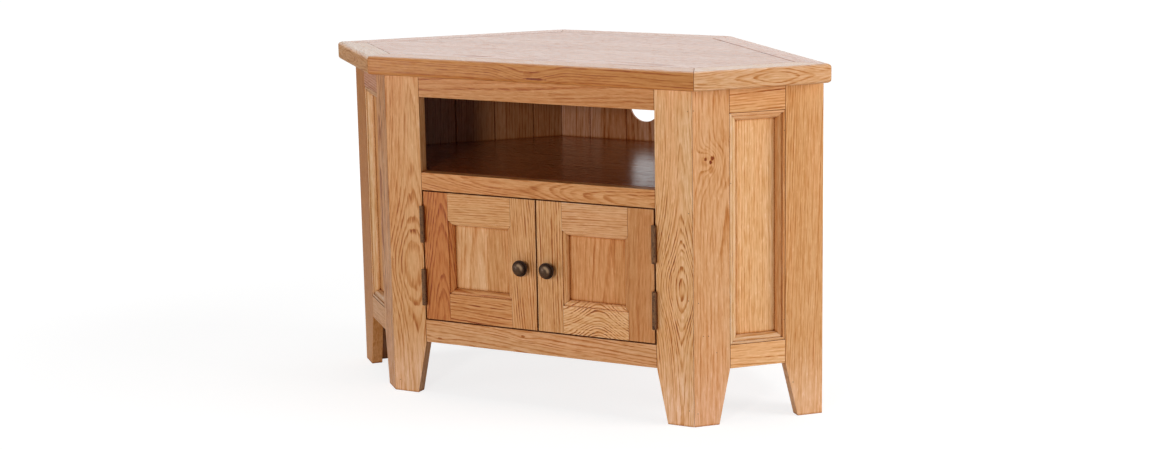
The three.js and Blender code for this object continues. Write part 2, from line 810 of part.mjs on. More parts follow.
// A steel plate low on the back of each door, level with the magnet on the floor panel
function buildStrike(door, side, hand) {
  const near = hand * (doorCentreGap / 2 + strikeInset);
  const far = near + hand * strikeWidth;
  const low = cupboardBottom + doorBottomGap + jointGap;
  const outline = rectangle(Math.min(near, far), low, Math.max(near, far), low + strikeHeight);
  const face = -doorThickness - jointGap;
  addMesh(door, `${side}_strike_plate`, prism(outline, face - strikeThickness, face), 'steel');
}

function buildCatch(cabinet) {
  const outline = new THREE.Shape();
  const half = catchLength / 2;
  const front = doorThickness + strikeThickness + 2 * jointGap;
  const back = front + catchDepth;
  outline.moveTo(-half, front);
  outline.lineTo(half, front);
  outline.lineTo(half, back - catchCorner);
  outline.absarc(half - catchCorner, back - catchCorner, catchCorner, 0, quarterTurn, false);
  outline.lineTo(catchCorner - half, back);
  outline.absarc(catchCorner - half, back - catchCorner, catchCorner, quarterTurn, Math.PI, false);
  outline.closePath();
  const low = floorTop + jointGap;
  addMesh(cabinet, 'magnetic_catch', prism(outline, low, low + catchHeight), 'catchBody');
}

const cabinet = new THREE.Group();
cabinet.position.y = (frontOverhang - bodyDepth - backOverhang) / 2;

buildTop(cabinet);
const frontElevation = elevationGroup(cabinet);
buildFront(frontElevation);
buildSide(elevationGroup(planGroup(cabinet, faces.rightSide)), 'right', 1);
buildSide(elevationGroup(planGroup(cabinet, faces.leftSide)), 'left', -1);
for (const [side, hand] of [['left', -1], ['right', 1]]) {
  const plan = planGroup(cabinet, faces[`${side}Wall`]);
  buildBackPostWallBoard(elevationGroup(plan), side, hand);
  buildWallPanel(plan, side, hand);
  buildDoor(frontElevation, side, hand);
  buildHinges(frontElevation, side, hand);
}
buildBackPanel(planGroup(cabinet, faces.back));
buildInside(cabinet);
buildCatch(cabinet);

const model = new THREE.Group();
model.add(cabinet);

export default model;
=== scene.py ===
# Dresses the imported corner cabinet: oak boards, bronze fittings, small fasteners, a pale studio
# and its camera. Metres, in the CAD's frame: x to the right along the front, y to the back, z up.

import json
import math

import bmesh
import bpy
from mathutils import Matrix, Vector

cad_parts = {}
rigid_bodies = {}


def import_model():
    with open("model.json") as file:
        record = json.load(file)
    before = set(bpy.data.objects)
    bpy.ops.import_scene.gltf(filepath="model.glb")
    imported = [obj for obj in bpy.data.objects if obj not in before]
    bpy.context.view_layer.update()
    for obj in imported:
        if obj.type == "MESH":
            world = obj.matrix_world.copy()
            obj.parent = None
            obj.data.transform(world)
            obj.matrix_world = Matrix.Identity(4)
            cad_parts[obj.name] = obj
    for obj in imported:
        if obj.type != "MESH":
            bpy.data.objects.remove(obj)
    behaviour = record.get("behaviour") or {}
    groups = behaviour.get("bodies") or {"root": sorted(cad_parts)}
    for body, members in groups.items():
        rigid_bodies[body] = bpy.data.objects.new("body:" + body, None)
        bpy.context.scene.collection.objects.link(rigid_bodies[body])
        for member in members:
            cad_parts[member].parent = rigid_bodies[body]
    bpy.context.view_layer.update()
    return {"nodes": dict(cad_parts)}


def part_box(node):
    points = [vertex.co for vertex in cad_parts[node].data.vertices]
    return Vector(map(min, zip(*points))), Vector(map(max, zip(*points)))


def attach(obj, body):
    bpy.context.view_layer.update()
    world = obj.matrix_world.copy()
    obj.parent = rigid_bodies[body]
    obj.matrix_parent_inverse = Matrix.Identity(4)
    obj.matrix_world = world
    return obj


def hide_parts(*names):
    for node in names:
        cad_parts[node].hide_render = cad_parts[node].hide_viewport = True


for leftover in list(bpy.data.objects):
    bpy.data.objects.remove(leftover)
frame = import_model()

MM = 0.001
DIAGONAL = math.sqrt(0.5)
FRONT_Y = -209.8  # where the posts' front face lies, in millimetres
CORNER_X = 291  # where that face ends to the left and right of the middle, in millimetres
X, Y, Z = Vector((1, 0, 0)), Vector((0, 1, 0)), Vector((0, 0, 1))
SIDES = {"left": -1, "right": 1}
# A side runs back and outward. The wall behind it stands square to it and runs back and inward,
# so the wall's run is also the way into the side
SIDE_RUN = {side: Vector((sign * DIAGONAL, DIAGONAL, 0)) for side, sign in SIDES.items()}
WALL_RUN = {side: Vector((-sign * DIAGONAL, DIAGONAL, 0)) for side, sign in SIDES.items()}


def place(x, y, z):
    """A point in metres from millimetres, with y counted from the posts' front face."""
    return Vector((x, y + FRONT_Y, z)) * MM


def side_place(side, along, height, inward=0.0):
    """A point in metres from millimetres back along a side from the front's corner, up, and into
    the side."""
    corner = place(SIDES[side] * CORNER_X, 0, height)
    return corner + (SIDE_RUN[side] * along + WALL_RUN[side] * inward) * MM


def srgb(*screen):
    """A linear colour from 0-255 screen values."""
    shares = [value / 255 for value in screen]
    return tuple(s / 12.92 if s <= 0.04 else ((s + 0.055) / 1.055) ** 2.4 for s in shares)


# Shader helpers


def feed(tree, socket, value):
    """Links another socket to this one, or sets this one's value."""
    if isinstance(value, bpy.types.NodeSocket):
        tree.links.new(value, socket)
    else:
        socket.default_value = value


def add_node(tree, kind, inputs=None, **settings):
    """A new node, with its settings made and its inputs linked or set."""
    made = tree.nodes.new(kind)
    for name, value in settings.items():
        setattr(made, name, value)
    for key, value in (inputs or {}).items():
        feed(tree, made.inputs[key], value)
    return made


def maths(tree, operation, first, second=0.0, third=0.0, clamp=False):
    inputs = {0: first, 1: second, 2: third}
    return add_node(tree, "ShaderNodeMath", inputs, operation=operation, use_clamp=clamp).outputs[0]


def vector_maths(tree, operation, first, second=(0.0, 0.0, 0.0)):
    made = add_node(tree, "ShaderNodeVectorMath", {0: first, 1: second}, operation=operation)
    return made.outputs["Value" if operation in ("LENGTH", "DOT_PRODUCT") else "Vector"]


def noise(tree, vector, scale, detail=2.0, rough=0.55):
    """A noise value about 0.5 whose cells are 1/scale long on each axis."""
    scaled = vector_maths(tree, "MULTIPLY", vector, scale)
    inputs = {"Vector": scaled, "Scale": 1.0, "Detail": detail, "Roughness": rough}
    return add_node(tree, "ShaderNodeTexNoise", inputs).outputs["Fac"]


def parts(tree, vector):
    """The x, y and z of a vector."""
    return add_node(tree, "ShaderNodeSeparateXYZ", {0: vector}).outputs


def joined(tree, *values):
    """A vector from its x, y and z."""
    return add_node(tree, "ShaderNodeCombineXYZ", dict(enumerate(values))).outputs[0]


def object_place(tree):
    """Where a point of the surface lies in the cabinet at rest."""
    return add_node(tree, "ShaderNodeTexCoord").outputs["Object"]


def dice(tree, number):
    """A chance value and colour that stay the same for the same number."""
    return add_node(tree, "ShaderNodeTexWhiteNoise", {"W": number}, noise_dimensions="1D").outputs


def ramp(tree, value, low, high, out_low=0.0, out_high=1.0):
    """A smooth change from one result to the other between two values."""
    inputs = {"Value": value, "From Min": low, "From Max": high, "To Min": out_low, "To Max": out_high}
    made = add_node(tree, "ShaderNodeMapRange", inputs, interpolation_type="SMOOTHSTEP")
    return made.outputs["Result"]


def mix_colour(tree, share, first, second, mode="MIX"):
    made = add_node(tree, "ShaderNodeMix", data_type="RGBA", blend_type=mode, clamp_factor=True)
    for number, value in ((0, share), (6, first), (7, second)):
        feed(tree, made.inputs[number], (*value, 1.0) if isinstance(value, tuple) else value)
    return made.outputs[2]


def tinted(tree, tint, share):
    """The tint with each of its channels taken by a share."""
    return mix_colour(tree, 1.0, tint, share, "MULTIPLY")


def bare_material(name):
    """A new material and its node tree, still empty."""
    material = bpy.data.materials.new(name)
    material.use_nodes = True
    material.node_tree.nodes.clear()
    return material, material.node_tree


def show(tree, shader, output="ShaderNodeOutputMaterial"):
    """Makes a shader the one that its tree puts out."""
    tree.links.new(shader.outputs[0], add_node(tree, output).inputs[0])


# Oak

ONE_BOARD = 10.0  # a stave pitch in metres that is wider than any board

# What the oak takes besides a place, in metres and shares
OAK_INPUTS = {
    "Tint": (0.6, 0.35, 0.16, 1),
    "Bulge": 0.0,
    "Reach": 0.08,
    "Taper": 0.02,
    "Spacing": 0.0042,
    "Contrast": 0.95,
    "Warp": 0.004,
    "Streak": 0.26,
    "Fleck": 0.14,
    "Tone": 0.32,
    "Stave pitch": ONE_BOARD,
    "Stave tone": 0.0,
    "Joint line": 0.35,
    "Joint width": 0.001,
    "Knot": 0.0,
    "Knot push": 0.0,
    "Seed": 0.0,
}


def oak_group():
    """Growth rings, pores, ray flecks and glued staves from a board's own coordinates: x along the
    grain, y across it and z into the board, all from the middle of its figure."""
    tree = bpy.data.node_groups.new("oak", "ShaderNodeTree")
    face = tree.interface
    face.new_socket("Vector", in_out="INPUT", socket_type="NodeSocketVector")
    for name, value in OAK_INPUTS.items():
        kind = "NodeSocketColor" if name == "Tint" else "NodeSocketFloat"
        face.new_socket(name, in_out="INPUT", socket_type=kind).default_value = value
    face.new_socket("Color", in_out="OUTPUT", socket_type="NodeSocketColor")
    for name in ("Roughness", "Height", "Open"):
        face.new_socket(name, in_out="OUTPUT", socket_type="NodeSocketFloat")
    given = tree.nodes.new("NodeGroupInput").outputs
    raw = given["Vector"]

    # Each stave of a glued-up panel is a board of its own, cut from somewhere else
    seed_step = 7.31
    farthest_shift = (2.0, 0.09, 0.05)  # metres along, across and into the wood
    stave_place = maths(tree, "DIVIDE", parts(tree, raw)[1], given["Stave pitch"])
    stave = maths(tree, "FLOOR", stave_place)
    chance = dice(tree, maths(tree, "ADD", maths(tree, "MULTIPLY", stave, seed_step), given["Seed"]))
    spread = vector_maths(tree, "SUBTRACT", chance["Color"], (0.5, 0.5, 0.5))
    has_staves = maths(tree, "LESS_THAN", given["Stave pitch"], ONE_BOARD / 2)
    shift = vector_maths(tree, "MULTIPLY", spread, farthest_shift)
    scaling = {0: shift, "Scale": has_staves}
    shift = add_node(tree, "ShaderNodeVectorMath", scaling, operation="SCALE").outputs[0]
    point = vector_maths(tree, "ADD", raw, shift)
    seeded = joined(tree, given["Seed"], given["Seed"], given["Seed"])
    loose = vector_maths(tree, "ADD", point, seeded)  # for what follows no figure

    # Growth rings lie round a pith; a taper draws them into arches, and a bulge closes them into loops
    along = parts(tree, point)[0]
    radius = vector_maths(tree, "LENGTH", vector_maths(tree, "MULTIPLY", point, (0.0, 1.0, 1.0)))
    radius = maths(tree, "MULTIPLY_ADD", along, given["Taper"], radius)
    squared = maths(tree, "POWER", maths(tree, "DIVIDE", along, given["Reach"]), 2.0)
    rise = maths(tree, "DIVIDE", squared, maths(tree, "ADD", squared, 1.0))
    radius = maths(tree, "MULTIPLY_ADD", rise, given["Bulge"], radius)
    slow = maths(tree, "SUBTRACT", noise(tree, loose, (5, 26, 26)), 0.5)
    quick = maths(tree, "SUBTRACT", noise(tree, loose, (34, 170, 170)), 0.5)
    bend = maths(tree, "MULTIPLY_ADD", quick, 0.25, slow)
    radius = maths(tree, "MULTIPLY_ADD", bend, given["Warp"], radius)
    radius = maths(tree, "ADD", radius, given["Knot push"])
    uneven = noise(tree, joined(tree, radius, given["Seed"]), (70, 1, 1), 1.0)
    phase = maths(tree, "MULTIPLY_ADD", uneven, 1.6, maths(tree, "DIVIDE", radius, given["Spacing"]))
    band = maths(tree, "FRACT", phase)
    year = dice(tree, maths(tree, "FLOOR", phase))
    ring_share = ramp(tree, year["Value"], 0.0, 1.0, 0.3, 1.0)
    late = maths(tree, "MULTIPLY", ramp(tree, band, 0.35, 0.8), ramp(tree, band, 0.86, 1.0, 1.0, 0.0))
    dash = ramp(tree, noise(tree, loose, (38, 360, 360)), 0.37, 0.57, 0.28, 1.0)
    patchy = ramp(tree, noise(tree, loose, (7, 50, 50), 1.0), 0.3, 0.65, 0.5, 1.0)
    rings = maths(tree, "MULTIPLY", maths(tree, "MULTIPLY", late, ring_share), dash)
    rings = maths(tree, "MULTIPLY", rings, patchy)

    # Long fibres, short pores and ray flecks
    broad = maths(tree, "SUBTRACT", noise(tree, loose, (3.2, 75, 75)), 0.5)
    fibre = ramp(tree, noise(tree, loose, (22, 300, 300), 2.0, 0.6), 0.42, 0.68)
    fibre = maths(tree, "SUBTRACT", fibre, 0.36)
    fine = ramp(tree, noise(tree, loose, (50, 660, 660), 1.0), 0.36, 0.68)
    fine = maths(tree, "SUBTRACT", fine, 0.45)
    streak = maths(tree, "MULTIPLY_ADD", fine, 0.6, fibre)
    streak = maths(tree, "MULTIPLY_ADD", broad, 0.9, streak)
    early = maths(tree, "SUBTRACT", 1.0, rings)
    pores = ramp(tree, noise(tree, loose, (75, 1500, 1500), 1.0), 0.58, 0.7)
    pores = maths(tree, "MULTIPLY", pores, early)
    fleck = ramp(tree, noise(tree, loose, (80, 300, 500), 1.0), 0.6, 0.72)
    tone = maths(tree, "SUBTRACT", noise(tree, loose, (2.4, 17, 17)), 0.5)

    # The line where two staves are glued
    across = maths(tree, "PINGPONG", maths(tree, "FRACT", stave_place), 0.5)
    to_joint = maths(tree, "MULTIPLY", across, given["Stave pitch"])
    line_share = ramp(tree, to_joint, 0.0002, given["Joint width"], 1.0, 0.0)
    line_share = maths(tree, "MULTIPLY", line_share, has_staves)
    glue_line = maths(tree, "MULTIPLY", line_share, given["Joint line"])

    # All that darkens the wood, and then its shade
    clean_shade, fall, pore_depth, knot_depth = 1.13, -0.6, 0.16, -0.75
    darker = maths(tree, "MULTIPLY_ADD", rings, given["Contrast"], glue_line)
    darker = maths(tree, "MULTIPLY_ADD", streak, given["Streak"], darker)
    darker = maths(tree, "MULTIPLY_ADD", pores, pore_depth, darker)
    darker = maths(tree, "MULTIPLY_ADD", maths(tree, "MULTIPLY", fleck, given["Fleck"]), -1.0, darker)
    darker = maths(tree, "MULTIPLY_ADD", tone, given["Tone"], darker)
    stave_tone = maths(tree, "SUBTRACT", chance["Value"], 0.5)
    stave_tone = maths(tree, "MULTIPLY", stave_tone, given["Stave tone"])
    stave_tone = maths(tree, "MULTIPLY", stave_tone, has_staves)
    shade = maths(tree, "MULTIPLY_ADD", darker, fall, maths(tree, "ADD", stave_tone, clean_shade))
    unknotted = maths(tree, "MULTIPLY_ADD", given["Knot"], knot_depth, 1.0)
    shade = maths(tree, "MULTIPLY", shade, unknotted)

    # Painted shade darkens quirks and gaps by how closely they are hemmed in, and handling pales the
    # arrises
    painted_shade_reach, arris_reach, deepest, darkest = 0.0045, 0.0012, 0.21, 0.05
    clear = add_node(tree, "ShaderNodeAmbientOcclusion", {"Distance": painted_shade_reach}, samples=4)
    open_air = ramp(tree, clear.outputs["AO"], 0.25, 0.93)
    painted_shade_share = maths(tree, "MULTIPLY_ADD", open_air, 1.0 - deepest, deepest)
    shade = maths(tree, "MULTIPLY", shade, painted_shade_share)
    rounded = add_node(tree, "ShaderNodeBevel", {"Radius": arris_reach}, samples=3).outputs[0]
    true_normal = add_node(tree, "ShaderNodeNewGeometry").outputs["Normal"]
    turned = vector_maths(tree, "DOT_PRODUCT", rounded, true_normal)
    worn = maths(tree, "MULTIPLY", ramp(tree, turned, 0.8, 0.99, 0.22, 0.0), patchy)
    shade = maths(tree, "ADD", shade, maths(tree, "MULTIPLY", worn, open_air))
    shade = maths(tree, "MAXIMUM", shade, darkest)

    # Darker wood is also redder: green and blue fall faster than red
    green_power, blue_power = 2.0, 3.8
    green, blue = maths(tree, "POWER", shade, green_power), maths(tree, "POWER", shade, blue_power)
    shaded = add_node(tree, "ShaderNodeCombineColor", {0: shade, 1: green, 2: blue}).outputs[0]
    colour = tinted(tree, given["Tint"], shaded)
    blush = ramp(tree, noise(tree, loose, (3.0, 24, 24), 1.0), 0.42, 0.7, 0.0, 0.6)
    colour = mix_colour(tree, blush, colour, tinted(tree, colour, (1.04, 0.95, 0.9)))

    # Flecks shine, pores are dull, and both rings and pores are sunk
    dull = maths(tree, "MULTIPLY_ADD", fleck, -0.06, maths(tree, "MULTIPLY", pores, 0.25))
    rough = maths(tree, "MULTIPLY_ADD", slow, 0.12, dull)
    height = maths(tree, "MULTIPLY", maths(tree, "MULTIPLY_ADD", rings, 0.35, pores), -1.0)
    height = maths(tree, "MULTIPLY_ADD", streak, 0.5, height)
    unglued = maths(tree, "SUBTRACT", 1.0, glue_line, clamp=True)
    clean = maths(tree, "MULTIPLY", open_air, unglued)
    results = {"Color": colour, "Roughness": rough, "Height": height, "Open": clean}
    add_node(tree, "NodeGroupOutput", results)
    return tree


OAK = oak_group()

# Heights in metres over which a post's figure fades: up from its foot, where its painted floor light
# fades too, and above the cupboard
FOOT_FADE = (0.02, 0.14)
CALM_FADE = (0.32, 0.42)


def oak(name, grain, across, centre, tint, rough=0.4, coat=0.15, lean=0.0, knots=(), foot=0.0,
        calm=0.0, upper=(1.0, 1.0, 1.0), **figure):
    """A lacquered oak material of its own for one board. The lean turns the grain in the board's
    face, in degrees. A post's figure fades towards its foot, and above the cupboard by the calm
    share, and near its foot a post is painted paler as painted light from the floor. A coat above
    a half is polished, but on the upper face alone, where the upper shares paint shade into the colour."""
    material, tree = bare_material("oak_" + name)
    away = math.radians(lean)
    with_grain = grain * math.cos(away) + across * math.sin(away)
    cross_grain = across * math.cos(away) - grain * math.sin(away)
    axes = Matrix((with_grain, cross_grain, with_grain.cross(cross_grain)))
    coords = object_place(tree)
    mapping = {"Vector": coords, "Location": -(axes @ centre), "Rotation": axes.to_euler("XYZ")}
    mapped = add_node(tree, "ShaderNodeMapping", mapping).outputs[0]
    inputs = {"Vector": mapped, "Tint": (*srgb(*tint), 1)}
    for key, value in figure.items():
        inputs[key.replace("_", " ").capitalize()] = value
    if foot:
        height = parts(tree, coords)[2]
        low = ramp(tree, height, *FOOT_FADE, 1.0, 0.0)
        contrast = figure.get("contrast", OAK_INPUTS["Contrast"])
        calmer = maths(tree, "MULTIPLY", ramp(tree, height, *CALM_FADE), -calm * contrast)
        calmer = maths(tree, "MULTIPLY_ADD", low, -0.5 * contrast, calmer)
        inputs["Contrast"] = maths(tree, "ADD", calmer, contrast)
    if knots:
        local = [(axes @ (spot - centre), *size) for spot, *size in knots]
        inputs["Knot"], inputs["Knot push"] = knot_nodes(tree, mapped, local)
    grown = add_node(tree, "ShaderNodeGroup", inputs, node_tree=OAK).outputs
    # Painted light from the floor: the post's colour is painted paler towards its foot
    colour = painted_floor_light(tree, low, grown["Color"], foot) if foot else grown["Color"]
    clear = grown["Open"]
    dusty = maths(tree, "MULTIPLY_ADD", clear, -0.5, 0.5 + rough)
    roughness = maths(tree, "ADD", grown["Roughness"], dusty, clamp=True)
    polished = coat > 0.5
    relief, level = (3.0, 1.66) if polished else (0.5, 1.1)
    lacquer = maths(tree, "MULTIPLY_ADD", grown["Height"], relief, level)
    lacquer = maths(tree, "MULTIPLY", lacquer, clear)
    lacquer = maths(tree, "MULTIPLY", lacquer, coat, clamp=True)
    if polished:
        normal = add_node(tree, "ShaderNodeNewGeometry").outputs["Normal"]
        upward = parts(tree, normal)[2]
        lacquer = maths(tree, "MULTIPLY", lacquer, ramp(tree, upward, 0.3, 0.8, 0.2, 1.0))
        # Painted shade: where the upper shares are below one, the polished upper face is painted darker
        # than the board's edges
        colour = mix_colour(tree, ramp(tree, upward, 0.6, 0.9), colour, tinted(tree, colour, upper))
    bump_inputs = {"Height": grown["Height"], "Strength": 0.4, "Distance": 0.0004}
    bump = add_node(tree, "ShaderNodeBump", bump_inputs)
    show(tree, add_node(tree, "ShaderNodeBsdfPrincipled", {
        "Base Color": colour,
        "Roughness": roughness,
        "Normal": bump.outputs[0],
        "Specular IOR Level": 0.35,
        "Coat Weight": lacquer,
        "Coat Roughness": 0.22,
        "Coat IOR": 1.48,
    }))
    return material


def painted_floor_light(tree, low, colour, strength):
    """Painted light: the posts' oak is painted paler towards the floor, standing in for the light that
    the floor throws up, as in the photograph.
    """
    gains = tuple(1 + strength * gain for gain in (0.08, 0.15, 0.36))
    return mix_colour(tree, low, colour, vector_maths(tree, "MULTIPLY", colour, gains))


def knot_nodes(tree, vector, knots):
    """Dark cores and the swell of the rings round them. A knot is its place, its radius, how many
    times longer than wide it is, its darkness and its swell."""
    core, push = None, None
    for spot, radius, length, darkness, swell in knots:
        offset = vector_maths(tree, "SUBTRACT", vector, spot)
        reach = vector_maths(tree, "MULTIPLY", offset, (1 / length, 1.0, 1.0))
        reach = vector_maths(tree, "LENGTH", reach)
        ragged = maths(tree, "MULTIPLY_ADD", noise(tree, vector, (300, 600, 600)), radius, reach)
        near = ramp(tree, ragged, radius * 1.1, radius * 1.7, darkness, 0.0)
        swollen = ramp(tree, reach, 0.0, radius * 9, radius * swell, 0.0)
        core = near if core is None else maths(tree, "MAXIMUM", core, near)
        push = swollen if push is None else maths(tree, "ADD", push, swollen)
    return core, push


# What each board looks like

# The oak's tones in even light, as screen values
OAK_TONES = {
    "pale": (220, 160, 100),
    "cream": (215, 165, 110),
    "sand": (208, 154, 102),
    "tan": (200, 148, 98),
    "honey": (208, 146, 90),
    "golden": (206, 143, 83),
    "amber": (201, 133, 72),
    "rosy": (198, 135, 95),
    "dusky": (188, 123, 78),
    "russet": (192, 125, 66),
    "toffee": (188, 117, 53),
    "rust": (186, 106, 44),
    # Painted shade: the shaded tone is darker for the shade that falls where its board stands
    "shaded": (155, 98, 56),
    "stained": (154, 80, 34),
}

# The boards of each tone. All others are tan
TONE_BOARDS = {
    "pale": ["front_right_post_front_board", "right_side_bottom_rail", "right_side_panel",
             "right_door_bottom_rail"],
    # Partly painted highlight: the right side's front moulding stick takes this paler tone over the
    # wood's own
    "cream": ["right_side_moulding_front", "left_side_moulding_back"],
    "sand": ["top_right_side_board", "right_side_moulding_bottom"],
    "honey": ["front_bottom_rail", "front_right_post_side_board", "front_left_post_side_board",
              "left_side_bottom_rail", "right_side_moulding_top", "right_door_top_rail"],
    "golden": ["front_left_post_front_board", "back_right_post_side_board", "right_side_top_rail",
               "left_side_panel", "left_door_top_rail", "left_door_knob_stile", "left_door_panel",
               "right_door_knob_stile", "top_left_side_board"],
    "amber": ["front_middle_rail", "left_door_bottom_rail", "right_door_panel"],
    "rosy": ["top_right_wall_board", "top_left_wall_board", "left_side_top_rail",
             "left_side_moulding_front"],
    "dusky": ["floor_panel", "back_panel", "right_wall_panel", "top_back_board", "top_field_panel"],
    # Partly painted shade: the right side's back moulding stick takes this darker tone over the wood's
    # own
    "russet": ["front_top_rail", "right_side_moulding_back", "right_door_hinge_stile"],
    "toffee": ["top_front_board", "back_left_post_side_board"],
    "rust": ["left_door_hinge_stile"],
    # The left wall panel's tone is painted shade, darker than the other inner panels for the shade in
    # the bay
    "shaded": ["left_wall_panel"],
    "stained": ["shelf"],
}


def board_tint(name):
    """The colour of a board's tone."""
    tone = next((tone for tone, boards in TONE_BOARDS.items() if name in boards), "tan")
    return OAK_TONES[tone]


def assign(node, material):
    """Makes a material the only one of a CAD node."""
    target = frame["nodes"][node]
    target.data.materials.clear()
    target.data.materials.append(material)
    for polygon in target.data.polygons:
        polygon.material_index = 0


def front_looks():
    """The front frame: loops on the left post, nested ovals on the right one, and pointed arches
    on the middle rail."""
    return {
        "front_left_post_front_board": dict(
            grain=Z, across=X, centre=place(-243, -24, 236), bulge=0.03, reach=0.085,
            spacing=0.0058, warp=0.011, contrast=1.2, foot=2.6, calm=0.4),
        "front_right_post_front_board": dict(
            grain=Z, across=X, centre=place(270, -7, 236), bulge=0.034, reach=0.08,
            spacing=0.0042, warp=0.009, contrast=1.35, foot=1.5, calm=0.55),
        "front_bottom_rail": dict(
            grain=X, across=Z, centre=place(-60, 40, 72), taper=0.03, spacing=0.0048,
            warp=0.009, lean=-1.5, contrast=1.1, knots=[
                (place(-30, 0, 124), 0.0022, 2.0, 0.6, 2.0),
                (place(-196, 0, 104), 0.0015, 3, 0.6, 2.0)]),
        "front_middle_rail": dict(
            grain=X, across=Z, centre=place(100, 12, 380), taper=-0.1, spacing=0.0042,
            warp=0.007, lean=-3.5, contrast=0.95, knots=[(place(-6, 0, 381), 0.007, 1.6, 0.2, 1.2)]),
        "front_top_rail": dict(
            grain=X, across=Z, centre=place(0, 70, 600), taper=0.03, spacing=0.0044,
            warp=0.007, contrast=1.1),
    }


def inner_looks():
    """The boarded shelf, floor and back of the inside, and the two plain rear feet."""
    return {
        "shelf": dict(
            grain=X, across=Y, centre=place(0, 60, 330), taper=0.01, spacing=0.005,
            contrast=0.4, stave_pitch=0.09, stave_tone=0.2, rough=0.2, coat=0.6),
        "floor_panel": dict(
            grain=X, across=Y, centre=place(0, 40, 60), taper=0.01, spacing=0.005,
            stave_pitch=0.09, stave_tone=0.2),
        "back_panel": dict(
            grain=Z, across=X, centre=place(-14, 500, 300), taper=0.03, spacing=0.005,
            stave_pitch=0.076, stave_tone=0.35),
        "rear_left_foot": dict(grain=Z, across=X, centre=place(-120, 400, 60)),
        "rear_right_foot": dict(grain=Z, across=X, centre=place(120, 400, 60)),
    }


def top_looks():
    """Six mitred border boards round a field of glued staves, all thickly lacquered."""
    whorl = place(6, -28, 583)
    split = place(18, -28, 575.5)
    field_knots = [(place(-97, 171, 600), 0.003, 1.6, 0.7, 2.0),
                   (place(25, 176, 600), 0.0024, 2.4, 0.5, 2.0)]
    looks = {
        "top_front_board": dict(
            grain=X, across=Y, centre=place(-40, -60, 520), taper=0.02, spacing=0.0046, warp=0.008,
            contrast=1.0, knots=[(whorl, 0.006, 1.5, 0.2, 2.2), (split, 0.0017, 13.0, 0.8, 0.3)]),
        "top_back_board": dict(grain=X, across=Y, centre=place(30, 500, 560), spacing=0.005),
        "top_field_panel": dict(
            grain=X, across=Y, centre=place(0, 17, 540), taper=0.03, spacing=0.0052, contrast=1.5,
            streak=0.6, stave_pitch=0.055, stave_tone=0.22, knots=field_knots),
    }
    for side in SIDES:
        looks[f"top_{side}_side_board"] = dict(
            grain=SIDE_RUN[side], across=WALL_RUN[side], centre=side_place(side, 140, 584, -34),
            bulge=0.028, reach=0.07, spacing=0.0048, warp=0.013, contrast=0.8,
            # The left board's upper face is painted darker and cooler than its edges, as painted shade
            upper=(1.0, 1.0, 1.0) if side == "right" else (0.8, 0.84, 0.9))
        across = -SIDE_RUN[side]
        board = frame["nodes"][f"top_{side}_wall_board"].data
        inner_edge = max((vertex.co for vertex in board.vertices), key=across.dot)
        looks[f"top_{side}_wall_board"] = dict(
            grain=WALL_RUN[side], across=across, centre=Vector((inner_edge.x, inner_edge.y, 540 * MM)),
            contrast=1.5, stave_pitch=1.0, joint_line=0.9, joint_width=0.002)
    for look in looks.values():
        look.update(coat=0.8, rough=0.36)
    return looks


def side_looks(side):
    """A side's two post boards, two rails and panel, and the post board and panel of its wall."""
    run, wall = SIDE_RUN[side], WALL_RUN[side]
    right = side == "right"
    cluster = [
        (side_place(side, 23, 451.6), 0.0024, 1.3, 0.85, 1.6),
        (side_place(side, 34.8, 452.7), 0.0034, 1.1, 0.9, 1.8),
        (side_place(side, 31.9, 445.9), 0.0028, 1.2, 0.95, 1.4),
        (side_place(side, 32.5, 434), 0.0052, 1.4, 0.24, 2.0),
    ]
    return {
        f"front_{side}_post_side_board": dict(
            grain=Z, across=run, centre=side_place(side, 60, 300, 34), taper=0.03, spacing=0.0044,
            contrast=0.6 if right else 1.9, streak=0.26 if right else 0.45, warp=0.009, foot=1.4,
            lean=-1.5, knots=cluster if right else []),
        f"back_{side}_post_side_board": dict(
            grain=Z, across=run, centre=side_place(side, 480, 300, 40), foot=2.2, lean=1.0,
            contrast=0.55),
        f"back_{side}_post_wall_board": dict(
            grain=Z, across=wall, centre=side_place(side, 230, 300, 90)),
        f"{side}_side_bottom_rail": dict(
            grain=run, across=Z, centre=side_place(side, 110, 60, 60), taper=0.03, contrast=0.65),
        f"{side}_side_top_rail": dict(
            grain=run, across=Z, centre=side_place(side, 110, 620, 50), taper=0.03, contrast=1.5),
        f"{side}_side_panel": dict(
            grain=Z, across=run, centre=side_place(side, 400, 330, 100), taper=0.0,
            spacing=0.0044, warp=0.003, contrast=0.6 if right else 0.9),
        f"{side}_wall_panel": dict(
            grain=Z, across=wall, centre=place(SIDES[side] * 176, 500, 300), spacing=0.005,
            stave_pitch=0.076, stave_tone=0.35),
    }


